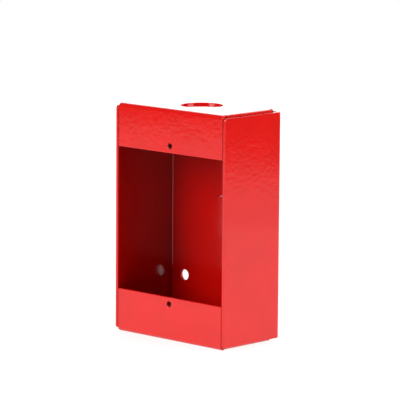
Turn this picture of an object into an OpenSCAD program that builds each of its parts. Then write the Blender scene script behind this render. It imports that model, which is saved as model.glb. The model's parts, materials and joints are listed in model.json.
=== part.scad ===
// Surface back box for a wall horn strobe, in bent and spot-welded sheet steel.
// A U-shaped wrap makes the back and both sides. A flanged end cap closes the top and an
// identical one, turned over, closes the bottom. Each cap carries one tapped device screw hole.
// Every conduit knockout is still closed by its slug.
// Origin: centre of the four wall screw holes, on the rear face. The front faces -Y, +Z is up.

/* [Box] */
// Overall width
box_w = 79; // [74:0.5:120]
// Overall height
box_h = 122.2; // [121:0.2:160]
// Overall depth, from the wall to the front face
box_d = 43; // [40:0.5:80]
// Thickness of the painted sheet
sheet_t = 1.6; // [1.2:0.1:2]
// Inside radius of every bend
bend_in_r = 0.6; // [0.4:0.1:1]
// Rounding of the side panels' front corners
corner_r = 1.5; // [0.4:0.1:3]

/* [End caps] */
// Height of the front opening between the two front flanges
opening_h = 76; // [70:0.5:80]
// Depth of the hidden rear and side flanges, measured from the end face
hidden_flange_h = 10; // [6:0.5:12]
// How far each end cap stands past the cut edge of the wrap
cap_proud = 1.45; // [1.2:0.05:3]
// Gap between a front flange and the side panel beside it
flange_gap = 0.3; // [0.1:0.1:0.5]
// Width of the corner relief cut between two flanges
relief_w = 0.8; // [0.4:0.1:1.5]
// How far a relief cut runs past the bend lines
relief_run = 0.5; // [0.3:0.1:1]

/* [Device screws] */
// Distance between the two device screws, the single-gang standard
device_pitch = 83.34; // [83:0.01:84]
// Diameter of the tapped hole
device_hole_d = 3; // [2.7:0.1:3.4]
// Depth of the 45 degree lead-in at its mouth
lead_in = 0.3; // [0.1:0.1:0.5]
// Outer diameter of the drawn collar round the tapped hole
collar_d = 5; // [4.4:0.1:6]
// Height of the drawn collar behind the flange
collar_h = 1.4; // [0.8:0.1:2]

/* [Wall screws] */
// Distance between wall screw holes, across
wall_pitch_x = 57.15; // [50:0.01:60]
// Distance between wall screw holes, up and down
wall_pitch_z = 69.85; // [60:0.01:80]
// Diameter of the wall screw holes
wall_hole_d = 5.6; // [4.5:0.1:6.5]

/* [Knockouts] */
// Diameter of a half-inch trade size knockout
knockout_d = 22.2; // [21.8:0.1:22.6]
// Centre of the end knockouts, measured from the wall
knockout_from_wall = 19; // [17:0.5:21]
// Sheared gap round a slug
slug_gap = 0.1; // [0.05:0.05:0.3]
// How far the slug is pushed into the box
slug_push = 1.15; // [0.5:0.05:1.3]
// Width of the tab that holds the slug
tab_w = 2.4; // [1.5:0.1:4]
// Length of the tab's slope, from the sheet's face down to the slug
tab_l = 3; // [2:0.5:5]

/* [Hidden] */
$fn = 96;
PAINT_RED = "#e02a26";
CUT = 0.5;                                       // overshoot of every cutting solid
TAB_ROOT = 0.6;                                  // flat start of the tab at the sheet
bend_out_r = bend_in_r + sheet_t;
wrap_h = box_h - 2 * cap_proud;                  // cut edge to cut edge
inner_w = box_w - 2 * sheet_t;                   // between the side panels
front_flange_h = (box_h - opening_h) / 2;
front_flange_w = inner_w - 2 * flange_gap;
crown_w = inner_w - 2 * bend_out_r;              // between the side flanges' bend lines
rear_flange_w = crown_w - 2 * relief_run;        // also the width between the relief cuts
cap_d = box_d - sheet_t;                         // front face to the rear flange's outer face
crown_d = cap_d - 2 * bend_out_r;                // between the front and rear bend lines
side_flange_l = crown_d - 2 * (relief_w + relief_run);
cap_mid_y = -(box_d + sheet_t) / 2;

// One 90 degree bend of the sheet, as long as length along +Z, from +X round to +Y.
module bend(length) {
    rotate_extrude(angle = 90)
        translate([bend_in_r, 0])
            square([sheet_t, length]);
}

// An L of sheet: a bend along +X that starts at the crown's edge, and a flange that hangs
// down from it. The end face of the cap is at z = 0 and the flange's outer face is at
// y = -bend_out_r.
module hanging_flange(length, drop) {
    translate([-length / 2, 0, -bend_out_r])
        rotate([0, 90, 0])
            rotate([0, 0, 180])
                bend(length);
    translate([-length / 2, -bend_out_r, -drop])
        cube([length, sheet_t, drop - bend_out_r]);
}

// The slug of one knockout, seen from outside along -Z, with the sheet's outer face at z = 0.
// One tab towards +X still joins it to the sheet and is bent down with it.
module slug() {
    translate([0, 0, -slug_push - sheet_t])
        cylinder(d = knockout_d - 2 * slug_gap, h = sheet_t);
    intersection() {
        translate([0, 0, -sheet_t])
            cylinder(d = knockout_d, h = sheet_t);
        translate([knockout_d / 2 - TAB_ROOT, tab_w / 2, 0])
            rotate([90, 0, 0])
                linear_extrude(tab_w)
                    polygon([
                        [-tab_l, -slug_push], [-tab_l, -sheet_t],
                        [TAB_ROOT + CUT, -sheet_t], [TAB_ROOT + CUT, 0], [0, 0],
                    ]);
    }
}

// Places its children on the end knockout of the top cap.
module at_end_knockout() {
    translate([0, -knockout_from_wall, box_h / 2])
        children();
}

// Places its children on the back knockout, turned so that their +Z leaves the wall side.
module at_back_knockout() {
    rotate([-90, 0, 0])
        rotate([0, 0, 90])
            children();
}

// One side panel, flat, from its front edge to the start of the rear bend.
module side_panel() {
    panel_d = box_d - bend_out_r;
    rotate([90, 0, 90])
        linear_extrude(sheet_t) {
            translate([corner_r, 0])
                square([panel_d - corner_r, wrap_h]);
            translate([0, corner_r])
                square([corner_r, wrap_h - 2 * corner_r]);
            for (z = [corner_r, wrap_h - corner_r]) {
                translate([corner_r, z])
                    circle(corner_r);
            }
        }
}

// Back and side panels, bent from one strip.
module wrap() {
    color(PAINT_RED)
    difference() {
        translate([0, 0, -wrap_h / 2]) {
            for (x = [-box_w / 2, box_w / 2 - sheet_t]) {
                translate([x, -box_d, 0])
                    side_panel();
            }
            translate([bend_out_r - box_w / 2, -sheet_t, 0])
                cube([box_w - 2 * bend_out_r, sheet_t, wrap_h]);
            translate([box_w / 2 - bend_out_r, -bend_out_r, 0])
                bend(wrap_h);
            translate([bend_out_r - box_w / 2, -bend_out_r, 0])
                rotate([0, 0, 90])
                    bend(wrap_h);
        }
        at_back_knockout()
            translate([0, 0, -sheet_t - CUT])
                cylinder(d = knockout_d, h = sheet_t + 2 * CUT);
        for (x = [-1, 1], z = [-1, 1]) {
            translate([x * wall_pitch_x / 2, CUT, z * wall_pitch_z / 2])
                rotate([90, 0, 0])
                    cylinder(d = wall_hole_d, h = sheet_t + 2 * CUT);
        }
    }
}

// The flat end face of a cap between its bend lines, with the four relief cuts left out.
module crown() {
    translate([-rear_flange_w / 2, -crown_d / 2, -sheet_t])
        cube([rear_flange_w, crown_d, sheet_t]);
    translate([-crown_w / 2, -side_flange_l / 2, -sheet_t])
        cube([crown_w, side_flange_l, sheet_t]);
    translate([-front_flange_w / 2, -crown_d / 2, -sheet_t])
        cube([front_flange_w, relief_run, sheet_t]);
}

// The stamping that closes one end, drawn at the top.
module end_cap() {
    difference() {
        union() {
            translate([0, cap_mid_y, box_h / 2])
                crown();
            translate([0, cap_mid_y - crown_d / 2, box_h / 2])
                hanging_flange(front_flange_w, front_flange_h);
            translate([0, cap_mid_y + crown_d / 2, box_h / 2])
                rotate([0, 0, 180])
                    hanging_flange(rear_flange_w, hidden_flange_h);
            for (turn = [90, -90]) {
                translate([0, cap_mid_y, box_h / 2])
                    rotate([0, 0, turn])
                        translate([0, -crown_w / 2, 0])
                            hanging_flange(side_flange_l, hidden_flange_h);
            }
            translate([0, -box_d + sheet_t, device_pitch / 2])
                rotate([-90, 0, 0])
                    cylinder(d = collar_d, h = collar_h);
        }
        at_end_knockout()
            translate([0, 0, -sheet_t - CUT])
                cylinder(d = knockout_d, h = sheet_t + 2 * CUT);
        translate([0, -box_d, device_pitch / 2])
            rotate([-90, 0, 0]) {
                translate([0, 0, -CUT])
                    cylinder(d = device_hole_d, h = sheet_t + collar_h + 2 * CUT);
                cylinder(d1 = device_hole_d + 2 * lead_in, d2 = device_hole_d, h = lead_in);
            }
    }
}

module top_cap() {
    color(PAINT_RED)
        end_cap();
}

module bottom_cap() {
    color(PAINT_RED)
        mirror([0, 0, 1])
            end_cap();
}

module knockout_slug_top() {
    color(PAINT_RED)
        at_end_knockout()
            slug();
}

module knockout_slug_bottom() {
    color(PAINT_RED)
        mirror([0, 0, 1])
            at_end_knockout()
                slug();
}

module knockout_slug_back() {
    color(PAINT_RED)
        at_back_knockout()
            slug();
}

wrap();
top_cap();
bottom_cap();
knockout_slug_top();
knockout_slug_bottom();
knockout_slug_back();
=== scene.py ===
import json
import math

import bmesh
import bpy
from bpy.props import FloatProperty, FloatVectorProperty, IntProperty, PointerProperty, StringProperty
from bpy.types import Operator, Panel, PropertyGroup
from mathutils import Euler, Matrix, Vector


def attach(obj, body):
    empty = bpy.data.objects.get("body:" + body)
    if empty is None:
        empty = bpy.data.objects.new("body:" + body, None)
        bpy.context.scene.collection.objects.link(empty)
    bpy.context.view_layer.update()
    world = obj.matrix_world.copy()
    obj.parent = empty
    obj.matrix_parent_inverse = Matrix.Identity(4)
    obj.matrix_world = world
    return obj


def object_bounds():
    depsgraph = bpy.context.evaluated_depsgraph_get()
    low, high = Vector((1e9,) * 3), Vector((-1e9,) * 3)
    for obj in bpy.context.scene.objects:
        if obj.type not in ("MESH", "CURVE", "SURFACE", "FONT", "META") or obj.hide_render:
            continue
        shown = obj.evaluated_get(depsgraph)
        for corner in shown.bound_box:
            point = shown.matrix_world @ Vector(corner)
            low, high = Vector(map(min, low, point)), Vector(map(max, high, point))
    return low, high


bl_info = {
    "name": "Surface back box",
    "version": (1, 0, 0),
    "blender": (4, 5, 0),
    "location": "3D View > Sidebar > Back Box",
    "description": "Finishes the steel back box of a wall horn strobe and sets up its studio",
    "category": "Object",
}

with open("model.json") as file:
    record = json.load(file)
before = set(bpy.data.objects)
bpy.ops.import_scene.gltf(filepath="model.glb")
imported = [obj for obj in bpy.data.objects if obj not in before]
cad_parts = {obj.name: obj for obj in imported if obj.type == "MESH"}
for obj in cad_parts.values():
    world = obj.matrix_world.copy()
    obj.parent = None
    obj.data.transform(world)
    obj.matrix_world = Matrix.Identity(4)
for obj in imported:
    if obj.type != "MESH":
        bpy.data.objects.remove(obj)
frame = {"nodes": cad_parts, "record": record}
CAD_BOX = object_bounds()

MM = 0.001
BODY = "root"
CAPS = ("top_cap", "bottom_cap")
SLUGS = ("knockout_slug_top", "knockout_slug_bottom", "knockout_slug_back")
SHEET_T = 1.6 * MM                   # painted sheet, as drawn
DEVICE_HOLES = next(m for m in frame["record"]["mounts"] if m["name"] == "device_screw_holes")
COLLAR_H = 1.4 * MM                  # drawn collar behind the flange, as on the caps
LEAD_IN = 0.3 * MM                   # lead-in at the mouth of each tapped hole
THREAD_BITE = 0.03 * MM              # how far a thread's root reaches into the metal round it
FLOOR_GAP = 0.05 * MM                # between the light table and the lower end face
WELD_GAP = 0.002 * MM                # facet corners closer than this are one point
FLAT_ANGLE = math.radians(0.3)       # facets that meet flatter than this are one face
SHARP_ANGLE = math.radians(50)       # edges sharper than this are cut edges


# ---------------------------------------------------------------- settings

class PaintSettings(PropertyGroup):
    """Gloss powder coat of the whole box."""

    colour: StringProperty(
        name="Colour", description="Paint colour, sRGB hex", default="c8120d")
    thin_colour: StringProperty(
        name="Thin colour", description="Where the film is thinnest, sRGB hex", default="800b08")
    speck_colour: StringProperty(
        name="Speck colour", description="Dust nibs under the film, sRGB hex", default="5a0c09")
    roughness: FloatProperty(
        name="Roughness", description="Outside film", default=0.045, min=0.02, max=0.6)
    # Darker red for the faces inside the box: painted shade of the box's hollow.
    inside_shade_colour: StringProperty(
        name="Inside colour", description="Thinner, duller film inside, sRGB hex", default="a40502")
    inside_roughness: FloatProperty(
        name="Inside roughness", description="Thinner film inside", default=0.13, min=0.02, max=0.8)
    peel_length: FloatProperty(
        name="Orange peel length", description="Mean distance between waves of the film",
        default=2.2 * MM, min=0.5 * MM, max=8 * MM, subtype="DISTANCE", unit="LENGTH", precision=5)
    peel_height: FloatProperty(
        name="Orange peel height", description="Height of the waves",
        default=0.02 * MM, min=0, max=0.3 * MM, subtype="DISTANCE", unit="LENGTH", precision=7)
    nib_spacing: FloatProperty(
        name="Nib spacing", description="Mean distance between dust nibs",
        default=14 * MM, min=2 * MM, max=100 * MM, subtype="DISTANCE", unit="LENGTH", precision=5)
    nib_size: FloatProperty(
        name="Nib size", description="Radius of a dust nib",
        default=0.35 * MM, min=0.05 * MM, max=1 * MM, subtype="DISTANCE", unit="LENGTH", precision=5)


class EdgeSettings(PropertyGroup):
    """How far the paint rounds the sheared edges."""

    sheet_radius: FloatProperty(
        name="Sheet edge radius", description="Rounding of the sheet's cut edges",
        default=0.3 * MM, min=0.05 * MM, max=0.4 * MM, subtype="DISTANCE", unit="LENGTH", precision=5)
    slug_radius: FloatProperty(
        name="Slug edge radius", description="Rounding of the knockout slugs' edges",
        default=0.045 * MM, min=0.01 * MM, max=0.045 * MM, subtype="DISTANCE", unit="LENGTH", precision=5)
    segments: IntProperty(
        name="Segments", description="Facets across one rounded edge", default=3, min=1, max=6)


class ThreadSettings(PropertyGroup):
    """6-32 UNC thread of the two device screw holes."""

    pitch: FloatProperty(
        name="Pitch", description="25.4 mm / 32",
        default=25.4 / 32 * MM, min=0.5 * MM, max=1.5 * MM, subtype="DISTANCE", unit="LENGTH", precision=6)
    crest_radius: FloatProperty(
        name="Crest radius", description="Half of the thread's minor diameter",
        default=1.38 * MM, min=1.2 * MM, max=1.48 * MM, subtype="DISTANCE", unit="LENGTH", precision=6)
    steps: IntProperty(
        name="Steps per turn", description="Facets along one turn", default=40, min=12, max=96)
    steel_colour: StringProperty(
        name="Steel colour", description="Cut steel, sRGB hex", default="5c534c")


class StageSettings(PropertyGroup):
    """Floor, studio light and camera."""

    floor_colour: StringProperty(
        name="Floor colour", description="Opal acrylic, sRGB hex", default="7c7c7b")
    floor_glow: FloatProperty(
        name="Floor glow", description="Radiance of the light table from within", default=0.81, min=0, max=5)
    floor_depth: FloatProperty(
        name="Floor depth", description="Half the depth of the light table, along the view",
        default=1.4, min=0.5, max=5, subtype="DISTANCE", unit="LENGTH")
    floor_left: FloatProperty(
        name="Floor to the left", description="Table's edge to the left of the view",
        default=0.5, min=0.2, max=5, subtype="DISTANCE", unit="LENGTH")
    floor_right: FloatProperty(
        name="Floor to the right", description="Table's edge to the right of the view",
        default=0.4, min=0.2, max=5, subtype="DISTANCE", unit="LENGTH")
    key: FloatProperty(
        name="Key light", description="Radiance of the softbox in front", default=8.1, min=0, max=50)
    side: FloatProperty(
        name="Side light", description="Radiance of the softbox on the right", default=6.6, min=0, max=50)
    backdrop: FloatProperty(
        name="Backdrop light", description="Radiance of the lit backdrop", default=2.5, min=0, max=10)
    surround: FloatProperty(
        name="Dark surround", description="Radiance of the unlit room", default=0.1, min=0, max=2)
    ground: FloatProperty(
        name="Ground light", description="Radiance of the lit ground past the table",
        default=0.95, min=0, max=5)
    ground_edge: FloatProperty(
        name="Ground edge", description="How far below the horizon the lit ground ends",
        default=math.radians(7.95), subtype="ANGLE", unit="ROTATION")
    ground_fade: FloatProperty(
        name="Ground fade", description="Half of the angle over which it ends",
        default=math.radians(0.45), subtype="ANGLE", unit="ROTATION")
    ground_lean: FloatProperty(
        name="Ground lean", description="How much lower that is on the right than straight ahead",
        default=math.radians(0.4), subtype="ANGLE", unit="ROTATION")
    camera_azimuth: FloatProperty(
        name="Camera azimuth", description="Round the box, 0 is straight in front",
        default=math.radians(43.75), subtype="ANGLE", unit="ROTATION")
    camera_elevation: FloatProperty(
        name="Camera elevation", description="Above the horizon",
        default=math.radians(9.30), subtype="ANGLE", unit="ROTATION")
    camera_distance: FloatProperty(
        name="Camera distance", description="From the box's centre",
        default=1.619, min=0.3, max=10, subtype="DISTANCE", unit="LENGTH")
    camera_turn: FloatVectorProperty(
        name="Camera turn", description="Pitch down, roll and heading of the camera", size=3,
        default=(math.radians(8.91), math.radians(0.43), math.radians(43.71)), subtype="EULER")
    camera_lens: FloatProperty(
        name="Focal length", description="Millimetres, on a 36 mm wide sensor",
        default=277.3, min=20, max=1000)


# ---------------------------------------------------------------- material tools

def linear(colour):
    """Turns an sRGB hex colour into linear RGBA."""
    values = [int(colour[i:i + 2], 16) / 255 for i in (0, 2, 4)]
    return tuple(v / 12.92 if v <= 0.04045 else ((v + 0.055) / 1.055) ** 2.4 for v in values) + (1.0,)


def add_node(tree, kind, inputs=None, **settings):
    """Adds one node with its settings; a socket among its inputs is linked, any other value is set."""
    node = tree.nodes.new(kind)
    for name, value in settings.items():
        setattr(node, name, value)
    for key, value in (inputs or {}).items():
        if isinstance(value, bpy.types.NodeSocket):
            tree.links.new(value, node.inputs[key])
        else:
            node.inputs[key].default_value = value
    return node


def new_material(name):
    """An empty material with its output node, and its tree."""
    material = bpy.data.materials.new(name)
    material.use_nodes = True
    material.node_tree.nodes.clear()
    return material, material.node_tree


def finish_material(tree, shader):
    add_node(tree, "ShaderNodeOutputMaterial", {"Surface": shader.outputs["BSDF"]})


def inside_mask(tree, position):
    """1 on the faces inside the box and 0 on those outside, from the point's place in the box."""
    low, high = CAD_BOX
    centre = (low + high) / 2
    margin = 0.4 * MM
    half = (high - low) / 2 - Vector((SHEET_T - margin,) * 3)
    from_centre = add_node(tree, "ShaderNodeVectorMath", {0: position, 1: centre}, operation="SUBTRACT")
    size = add_node(tree, "ShaderNodeVectorMath", {0: from_centre.outputs[0]}, operation="ABSOLUTE")
    past = add_node(tree, "ShaderNodeVectorMath", {0: size.outputs[0], 1: half}, operation="SUBTRACT")
    axes = add_node(tree, "ShaderNodeSeparateXYZ", {0: past.outputs[0]})
    across = add_node(tree, "ShaderNodeMath", {0: axes.outputs[0], 1: axes.outputs[1]}, operation="MAXIMUM")
    most = add_node(tree, "ShaderNodeMath", {0: across.outputs[0], 1: axes.outputs[2]}, operation="MAXIMUM")
    return add_node(tree, "ShaderNodeMapRange", {
        "Value": most.outputs[0], "From Min": -0.2 * MM, "From Max": 0.2 * MM,
        "To Min": 1.0, "To Max": 0.0}, interpolation_type="SMOOTHSTEP").outputs["Result"]


# Polyester powder coat, sprayed dry on sheet steel and baked until it flows. The eye sees a
# deep, even red under a clear gloss. Reflections are sharp, but break up in the orange peel, the
# waves of about 2 mm that the film sets with. It draws thin on sheared edges, and inside the box,
# where the spray hardly reaches, it is less glossy. Its red is painted darker inside the box:
# painted shade of the box's hollow. A few dust nibs are baked in.
def gloss_powder_coat(paint):
    """Builds the powder coat, or finds it if it is there."""
    name = "gloss_red_powder_coat"
    found = bpy.data.materials.get(name)
    if found:
        return found
    material, tree = new_material(name)
    position = add_node(tree, "ShaderNodeTexCoord").outputs["Object"]
    inside = inside_mask(tree, position)
    colour = film_colour(tree, position, inside, paint)
    nibs = dust_nibs(tree, position, paint)
    nib_tint = add_node(tree, "ShaderNodeMath", {0: nibs, 1: 0.5}, operation="MULTIPLY")
    speckled = add_node(tree, "ShaderNodeMix", {
        "Factor": nib_tint.outputs[0], "A": colour, "B": linear(paint.speck_colour)},
        data_type="RGBA")
    shader = add_node(tree, "ShaderNodeBsdfPrincipled", {
        "Base Color": speckled.outputs["Result"],
        "Roughness": film_roughness(tree, position, inside, paint),
        "IOR": 1.5, "Normal": film_relief(tree, position, nibs, paint)})
    finish_material(tree, shader)
    return material


def film_colour(tree, position, inside, paint):
    """Red outside, and darker inside as painted shade of the box's hollow, with thin patches in the film and
    at sheared edges.
    """
    cloud = add_node(tree, "ShaderNodeTexNoise", {
        "Vector": position, "Scale": 1 / (18 * MM), "Detail": 3.0, "Roughness": 0.55})
    film = add_node(tree, "ShaderNodeMapRange", {
        "Value": cloud.outputs["Fac"], "From Min": 0.25, "From Max": 0.8,
        "To Min": 0.0, "To Max": 0.22})
    edge = add_node(tree, "ShaderNodeAmbientOcclusion", {"Distance": 0.5 * MM}, samples=4, inside=True)
    thin = add_node(tree, "ShaderNodeMapRange", {
        "Value": edge.outputs["AO"], "From Min": 0.35, "From Max": 0.75,
        "To Min": 0.5, "To Max": 0.0})
    thinness = add_node(tree, "ShaderNodeMath", {
        0: film.outputs["Result"], 1: thin.outputs["Result"]}, operation="MAXIMUM")
    # Painted shade: the darker inside colour stands in for the shade inside the box's hollow.
    inside_shaded = add_node(tree, "ShaderNodeMix", {
        "Factor": inside, "A": linear(paint.colour), "B": linear(paint.inside_shade_colour)}, data_type="RGBA")
    return add_node(tree, "ShaderNodeMix", {
        "Factor": thinness.outputs[0], "A": inside_shaded.outputs["Result"], "B": linear(paint.thin_colour)},
        data_type="RGBA").outputs["Result"]


def dust_nibs(tree, position, paint):
    """1 in the middle of each dust nib, and 0 from its rim on."""
    cell = add_node(tree, "ShaderNodeTexVoronoi", {
        "Vector": position, "Scale": 1 / paint.nib_spacing, "Randomness": 1.0})
    return add_node(tree, "ShaderNodeMapRange", {
        "Value": cell.outputs["Distance"], "From Min": 0.0,
        "From Max": paint.nib_size / paint.nib_spacing, "To Min": 1.0, "To Max": 0.0},
        interpolation_type="SMOOTHSTEP").outputs["Result"]


def film_roughness(tree, position, inside, paint):
    """Gloss that varies softly over the film, and is duller inside the box."""
    cloud = add_node(tree, "ShaderNodeTexNoise", {
        "Vector": position, "Scale": 1 / (25 * MM), "Detail": 4.0, "Roughness": 0.6})
    outside_film = add_node(tree, "ShaderNodeMapRange", {
        "Value": cloud.outputs["Fac"], "From Min": 0.3, "From Max": 0.75,
        "To Min": paint.roughness * 0.8, "To Max": paint.roughness * 1.4})
    inside_film = add_node(tree, "ShaderNodeMapRange", {
        "Value": cloud.outputs["Fac"], "From Min": 0.3, "From Max": 0.75,
        "To Min": paint.inside_roughness * 0.85, "To Max": paint.inside_roughness * 1.3})
    return add_node(tree, "ShaderNodeMix", {
        "Factor": inside, "A": outside_film.outputs["Result"], "B": inside_film.outputs["Result"]},
        data_type="FLOAT").outputs["Result"]


def film_relief(tree, position, nibs, paint):
    """Orange peel, with the dust nibs standing in it."""
    peel = add_node(tree, "ShaderNodeTexNoise", {
        "Vector": position, "Scale": 1 / paint.peel_length, "Detail": 2.5, "Roughness": 0.5})
    waves = add_node(tree, "ShaderNodeBump", {
        "Height": peel.outputs["Fac"], "Strength": 1.0, "Distance": paint.peel_height})
    return add_node(tree, "ShaderNodeBump", {
        "Height": nibs, "Strength": 1.0, "Distance": 0.03 * MM,
        "Normal": waves.outputs["Normal"]}).outputs["Normal"]


# Low-carbon sheet steel, tapped after painting. The cut crests are bare: a warm grey metal,
# a little dull, with fine tool marks that run round with the thread.
def tapped_steel(threads):
    material, tree = new_material("tapped_bare_steel")
    position = add_node(tree, "ShaderNodeTexCoord").outputs["Object"]
    marks = add_node(tree, "ShaderNodeTexNoise", {
        "Vector": position, "Scale": 1 / (0.15 * MM), "Detail": 2.0})
    roughness = add_node(tree, "ShaderNodeMapRange", {
        "Value": marks.outputs["Fac"], "To Min": 0.25, "To Max": 0.5})
    dull = add_node(tree, "ShaderNodeMix", {
        "Factor": marks.outputs["Fac"], "A": linear(threads.steel_colour), "B": linear("2e2825")},
        data_type="RGBA")
    bump = add_node(tree, "ShaderNodeBump", {
        "Height": marks.outputs["Fac"], "Strength": 1.0, "Distance": 0.01 * MM})
    shader = add_node(tree, "ShaderNodeBsdfPrincipled", {
        "Base Color": dull.outputs["Result"], "Metallic": 1.0,
        "Roughness": roughness.outputs["Result"], "Normal": bump.outputs["Normal"]})
    finish_material(tree, shader)
    return material


# Light table of opal acrylic, lit from within, so that its glow drowns the shadow of what stands
# on it. The face is finely blasted: matt, with a soft tooth.
def light_table(stage):
    material, tree = new_material("opal_light_table")
    position = add_node(tree, "ShaderNodeTexCoord").outputs["Object"]
    tooth = add_node(tree, "ShaderNodeTexNoise", {
        "Vector": position, "Scale": 1 / (1.2 * MM), "Detail": 2.0})
    bump = add_node(tree, "ShaderNodeBump", {
        "Height": tooth.outputs["Fac"], "Strength": 0.2, "Distance": 0.05 * MM})
    shader = add_node(tree, "ShaderNodeBsdfPrincipled", {
        "Base Color": linear(stage.floor_colour), "Roughness": 0.9,
        "Normal": bump.outputs["Normal"], "Emission Color": (1.0, 1.0, 1.0, 1.0),
        "Emission Strength": stage.floor_glow})
    finish_material(tree, shader)
    return material


# ---------------------------------------------------------------- shape tools

def smooth_group():
    """Geometry nodes that shade every face smooth, so that the weighted normals can work."""
    group = bpy.data.node_groups.get("shade_smooth")
    if group:
        return group
    group = bpy.data.node_groups.new("shade_smooth", "GeometryNodeTree")
    group.interface.new_socket("Geometry", in_out="INPUT", socket_type="NodeSocketGeometry")
    group.interface.new_socket("Geometry", in_out="OUTPUT", socket_type="NodeSocketGeometry")
    start = add_node(group, "NodeGroupInput")
    smooth = add_node(group, "GeometryNodeSetShadeSmooth", {"Geometry": start.outputs[0]})
    add_node(group, "NodeGroupOutput", {0: smooth.outputs[0]})
    return group


def round_edges(obj, radius, segments):
    """Joins the CAD node's facets into clean faces and rounds its sharp edges."""
    weld = obj.modifiers.new("weld_seams", "WELD")
    weld.merge_threshold = WELD_GAP
    flats = obj.modifiers.new("join_flats", "DECIMATE")
    flats.decimate_type = "DISSOLVE"
    flats.angle_limit = FLAT_ANGLE
    bevel = obj.modifiers.new("painted_edge", "BEVEL")
    bevel.width = radius
    bevel.segments = segments
    bevel.limit_method = "ANGLE"
    bevel.angle_limit = SHARP_ANGLE
    bevel.use_clamp_overlap = False
    bevel.loop_slide = False
    smooth = obj.modifiers.new("shade_smooth", "NODES")
    smooth.node_group = smooth_group()
    normals = obj.modifiers.new("flat_faces", "WEIGHTED_NORMAL")
    normals.keep_sharp = False
    normals.weight = 100


def paint_node(name, material):
    """Gives a CAD node its finish."""
    obj = frame["nodes"][name]
    obj.data.materials.clear()
    obj.data.materials.append(material)
    return obj


def thread_mesh(name, radius, crest, pitch, length, steps):
    """The crests of an internal thread, as one closed ridge wound along +Z from z = 0."""
    root = radius + THREAD_BITE
    base = pitch * 0.62
    top = pitch * 0.2
    turns = (length - base) / pitch
    count = int(turns * steps)
    run_out = steps * 0.25           # the ridge rises and dies away over a quarter turn
    lowest = 0.05                    # of its height, at either end
    profile = [(root, 0), (crest, (base - top) / 2), (crest, (base + top) / 2), (root, base)]
    bm = bmesh.new()
    rings = []
    for i in range(count + 1):
        angle = 2 * math.pi * i / steps
        rise = pitch * i / steps
        fade = min(1.0, i / run_out, (count - i) / run_out)
        ring = []
        for r, z in profile:
            r = root + (r - root) * (lowest + (1 - lowest) * fade)
            ring.append(bm.verts.new((r * math.cos(angle), r * math.sin(angle), z + rise)))
        rings.append(ring)
    sides = len(profile)
    for a, b in zip(rings, rings[1:]):
        for k in range(sides):
            bm.faces.new((a[k], a[(k + 1) % sides], b[(k + 1) % sides], b[k]))
    bm.faces.new(rings[0][::-1])
    bm.faces.new(rings[-1])
    bmesh.ops.recalc_face_normals(bm, faces=bm.faces)
    mesh = bpy.data.meshes.new(name)
    bm.to_mesh(mesh)
    bm.free()
    return mesh


def softbox(tree, direction, aim, half_size, soft, radiance):
    """Light from a round patch of the world. All angles are in degrees: its azimuth (0 in front,
    90 on the right) and elevation, its half size, and how far its edge fades to either side."""
    turn, rise = (math.radians(angle) for angle in aim)
    centre = Vector((
        math.sin(turn) * math.cos(rise), -math.cos(turn) * math.cos(rise), math.sin(rise)))
    towards = add_node(tree, "ShaderNodeVectorMath", {0: direction, 1: centre}, operation="DOT_PRODUCT")
    return add_node(tree, "ShaderNodeMapRange", {
        "Value": towards.outputs["Value"], "From Min": math.cos(math.radians(half_size + soft)),
        "From Max": math.cos(math.radians(half_size - soft)), "To Max": radiance},
        interpolation_type="SMOOTHSTEP").outputs["Result"]


# ---------------------------------------------------------------- operators

class BACKBOX_OT_wrap(Operator):
    """Paint the wrap and round its sheared edges"""

    bl_idname = "backbox.wrap"
    bl_label = "Wrap"

    def execute(self, context):
        scene = context.scene
        obj = paint_node("wrap", gloss_powder_coat(scene.backbox_paint))
        round_edges(obj, scene.backbox_edges.sheet_radius, scene.backbox_edges.segments)
        return {"FINISHED"}


class BACKBOX_OT_end_caps(Operator):
    """Paint the two end caps and round their sheared edges"""

    bl_idname = "backbox.end_caps"
    bl_label = "End caps"

    def execute(self, context):
        scene = context.scene
        for name in CAPS:
            obj = paint_node(name, gloss_powder_coat(scene.backbox_paint))
            round_edges(obj, scene.backbox_edges.sheet_radius, scene.backbox_edges.segments)
        return {"FINISHED"}


class BACKBOX_OT_knockout_slugs(Operator):
    """Paint the three knockout slugs and round their edges"""

    bl_idname = "backbox.knockout_slugs"
    bl_label = "Knockout slugs"

    def execute(self, context):
        scene = context.scene
        for name in SLUGS:
            obj = paint_node(name, gloss_powder_coat(scene.backbox_paint))
            round_edges(obj, scene.backbox_edges.slug_radius, scene.backbox_edges.segments)
        return {"FINISHED"}


class BACKBOX_OT_device_threads(Operator):
    """Cut the thread crests in the two device screw holes"""

    bl_idname = "backbox.device_threads"
    bl_label = "Device screw threads"

    def execute(self, context):
        threads = context.scene.backbox_threads
        steel = tapped_steel(threads)
        radius = DEVICE_HOLES["dims"]["hole_r_mm"] * MM
        place = Vector(DEVICE_HOLES["pos_m"])
        reach = DEVICE_HOLES["dims"]["spacing_y_mm"] * MM / 2
        length = SHEET_T + COLLAR_H - LEAD_IN
        for name, side in (("device_thread_top", 1), ("device_thread_bottom", -1)):
            mesh = thread_mesh(name, radius, threads.crest_radius, threads.pitch, length, threads.steps)
            obj = bpy.data.objects.new(name, mesh)
            context.scene.collection.objects.link(obj)
            obj.rotation_euler = (math.radians(-90), 0, 0)
            obj.location = place + Vector((0, LEAD_IN, side * reach))
            mesh.materials.append(steel)
            for face in mesh.polygons:
                face.use_smooth = True
            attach(obj, BODY)
        return {"FINISHED"}


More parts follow.
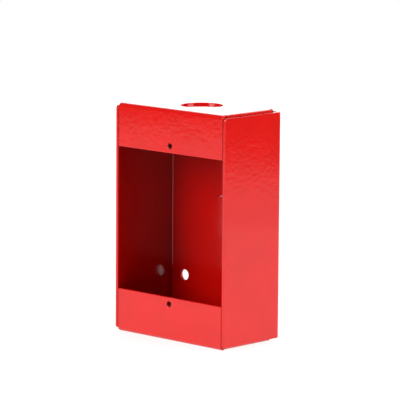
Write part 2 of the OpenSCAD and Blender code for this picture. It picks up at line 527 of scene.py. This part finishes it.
class BACKBOX_OT_stage(Operator):
    """Set up the light table, the studio light and the camera"""

    bl_idname = "backbox.stage"
    bl_label = "Stage"

    def execute(self, context):
        stage = context.scene.backbox_stage
        low, high = CAD_BOX
        centre = (low + high) / 2
        heading = stage.camera_turn[2]
        forward = Vector((-math.sin(heading), math.cos(heading), 0))
        right = Vector((math.cos(heading), math.sin(heading), 0))
        foot = Vector((centre.x, centre.y, low.z - FLOOR_GAP))

        mesh = bpy.data.meshes.new("floor")
        corners = [
            foot + right * x + forward * y * stage.floor_depth
            for x, y in (
                (-stage.floor_left, -1), (stage.floor_right, -1),
                (stage.floor_right, 1), (-stage.floor_left, 1))
        ]
        mesh.from_pydata(corners, [], [(0, 1, 2, 3)])
        mesh.materials.append(light_table(stage))
        floor = bpy.data.objects.new("floor", mesh)
        context.scene.collection.objects.link(floor)

        self.light(context.scene, stage, right)
        self.camera(context.scene, stage, centre)
        context.scene.view_settings.view_transform = "Standard"
        return {"FINISHED"}

    def light(self, scene, stage, right):
        """A studio drawn by direction: lit ground, two softboxes, a lit backdrop and a dark room."""
        world = bpy.data.worlds.new("studio")
        scene.world = world
        world.use_nodes = True
        tree = world.node_tree
        tree.nodes.clear()
        direction = add_node(tree, "ShaderNodeTexCoord").outputs["Generated"]
        lamps = (
            softbox(tree, direction, (-14, 22), 22, 3, stage.key),            # in front, a little left
            softbox(tree, direction, (108, 25), 24, 3, stage.side),           # on the right
            softbox(tree, direction, (-140, 12), 36, 12, stage.backdrop),     # wide and soft, behind
        )
        across = add_node(tree, "ShaderNodeVectorMath", {0: direction, 1: right}, operation="DOT_PRODUCT")
        height = add_node(tree, "ShaderNodeSeparateXYZ", {0: direction}).outputs["Z"]
        level = add_node(tree, "ShaderNodeMath", {
            0: across.outputs["Value"], 1: stage.ground_lean, 2: height}, operation="MULTIPLY_ADD")
        lit = add_node(tree, "ShaderNodeMapRange", {
            "Value": level.outputs[0], "From Min": math.sin(stage.ground_fade - stage.ground_edge),
            "From Max": -math.sin(stage.ground_fade + stage.ground_edge),
            "To Min": stage.surround, "To Max": stage.ground},
            interpolation_type="SMOOTHSTEP").outputs["Result"]
        for lamp in lamps:
            lit = add_node(tree, "ShaderNodeMath", {0: lit, 1: lamp}, operation="ADD").outputs[0]
        ray = add_node(tree, "ShaderNodeLightPath")
        shown = add_node(tree, "ShaderNodeMix", {
            "Factor": ray.outputs["Is Camera Ray"], "A": lit, "B": 1.0}, data_type="FLOAT")
        sky = add_node(tree, "ShaderNodeBackground", {
            "Color": (1.0, 1.0, 1.0, 1.0), "Strength": shown.outputs["Result"]})
        add_node(tree, "ShaderNodeOutputWorld", {"Surface": sky.outputs["Background"]})

    def camera(self, scene, stage, centre):
        """The camera on its tripod: low, to the front right, with a long lens."""
        azimuth, elevation = stage.camera_azimuth, stage.camera_elevation
        back = Vector((
            math.sin(azimuth) * math.cos(elevation),
            -math.cos(azimuth) * math.cos(elevation),
            math.sin(elevation)))
        pitch, roll, heading = stage.camera_turn
        data = bpy.data.cameras.new("camera")
        data.lens = stage.camera_lens
        data.sensor_width = 36
        camera = bpy.data.objects.new("camera", data)
        scene.collection.objects.link(camera)
        camera.location = centre + back * stage.camera_distance
        turn = Euler((0, 0, heading)).to_matrix() @ Euler((math.pi / 2 - pitch, 0, 0)).to_matrix()
        camera.rotation_euler = (turn @ Euler((0, 0, roll)).to_matrix()).to_euler()
        scene.camera = camera


# ---------------------------------------------------------------- panel and registration

SETTINGS = (
    ("backbox_paint", PaintSettings),
    ("backbox_edges", EdgeSettings),
    ("backbox_threads", ThreadSettings),
    ("backbox_stage", StageSettings),
)
OPERATORS = (
    BACKBOX_OT_wrap,
    BACKBOX_OT_end_caps,
    BACKBOX_OT_knockout_slugs,
    BACKBOX_OT_device_threads,
    BACKBOX_OT_stage,
)


class BACKBOX_PT_panel(Panel):
    """Lists the settings and the steps of the back box"""

    bl_label = "Back Box"
    bl_idname = "BACKBOX_PT_panel"
    bl_space_type = "VIEW_3D"
    bl_region_type = "UI"
    bl_category = "Back Box"

    def draw(self, context):
        for name, group in SETTINGS:
            box = self.layout.box()
            box.label(text=group.__doc__)
            for key in group.__annotations__:
                box.prop(getattr(context.scene, name), key)
        for operator in OPERATORS:
            self.layout.operator(operator.bl_idname)


def register():
    for name, group in SETTINGS:
        bpy.utils.register_class(group)
        setattr(bpy.types.Scene, name, PointerProperty(type=group))
    for cls in OPERATORS + (BACKBOX_PT_panel,):
        bpy.utils.register_class(cls)


def unregister():
    for cls in reversed(OPERATORS + (BACKBOX_PT_panel,)):
        bpy.utils.unregister_class(cls)
    for name, group in reversed(SETTINGS):
        delattr(bpy.types.Scene, name)
        bpy.utils.unregister_class(group)


def main():
    register()
    bpy.ops.backbox.wrap()
    bpy.ops.backbox.end_caps()
    bpy.ops.backbox.knockout_slugs()
    bpy.ops.backbox.device_threads()
    bpy.ops.backbox.stage()


if __name__ == "__main__":
    main()
